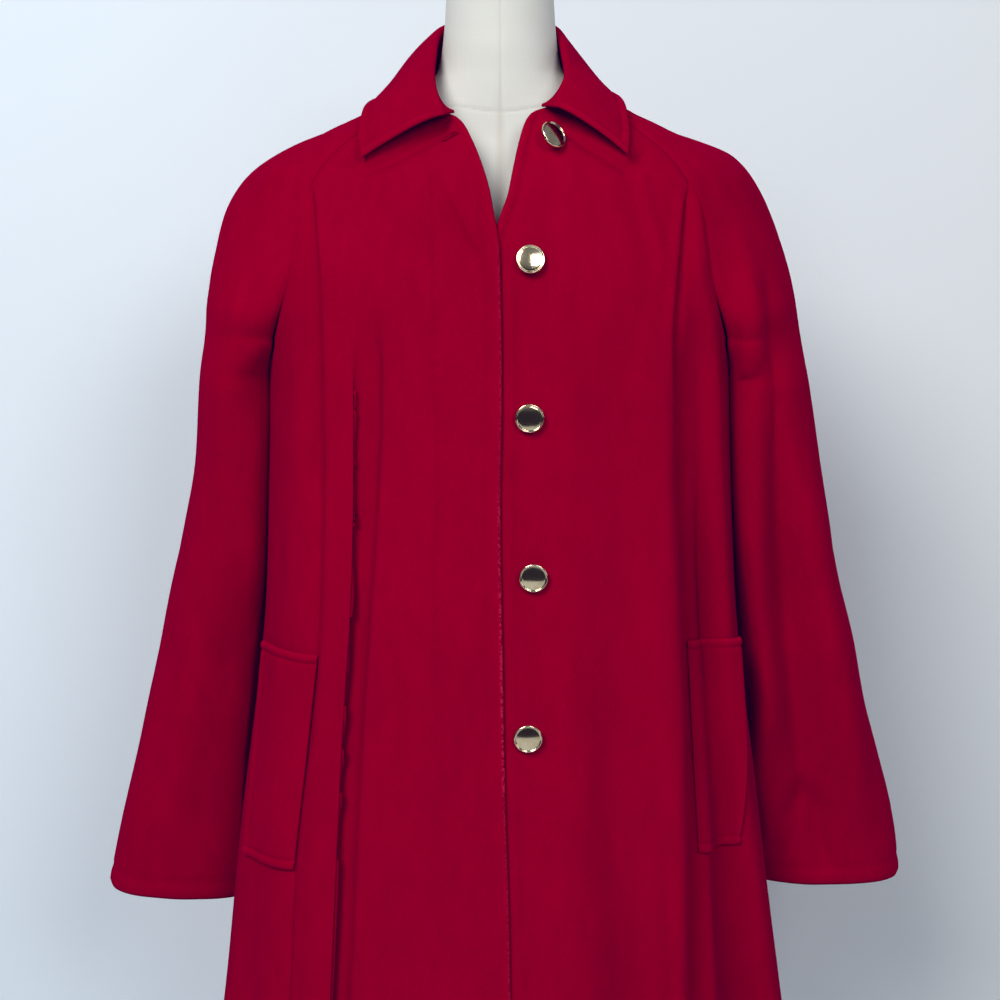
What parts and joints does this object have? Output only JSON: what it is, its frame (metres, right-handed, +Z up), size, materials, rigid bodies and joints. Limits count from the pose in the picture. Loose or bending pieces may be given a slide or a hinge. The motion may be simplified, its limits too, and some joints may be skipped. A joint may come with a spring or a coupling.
{
  "type": "swing coat on dress form",
  "caption": "Knee-length A-line wool coat with raglan sleeves, turn-down collar, fly front, gold buttons and slanted welt pockets, worn open at the neck on a limbless dress form.",
  "frame": {"origin": "centre of the round base's underside, on the floor", "axes": "+Z up, the coat's front faces -Y, the wearer's left is +X"},
  "size_m": [0.7506, 0.4532, 1.5403],
  "materials": {
    "wool": "brushed wool coating with a soft nap",
    "polished_metal": "mirror polish",
    "canvas": "plain off-white canvas",
    "turned_wood": "satin varnish",
    "painted_iron": "satin black"
  },
  "bodies": {
    "root": {"front_right": "wool", "front_left": "wool", "side_front_right": "wool", "side_front_left": "wool", "back": "wool", "sleeve_front_right": "wool", "sleeve_front_left": "wool", "sleeve_back_right": "wool", "sleeve_back_left": "wool", "collar": "wool", "welt_right": "wool", "welt_left": "wool", "button_1": "polished_metal", "button_2": "polished_metal", "button_3": "polished_metal", "button_4": "polished_metal", "button_5": "polished_metal", "form_torso": "canvas", "neck_cap": "turned_wood", "pole": "painted_iron", "base": "painted_iron"}
  },
  "joints": []
}
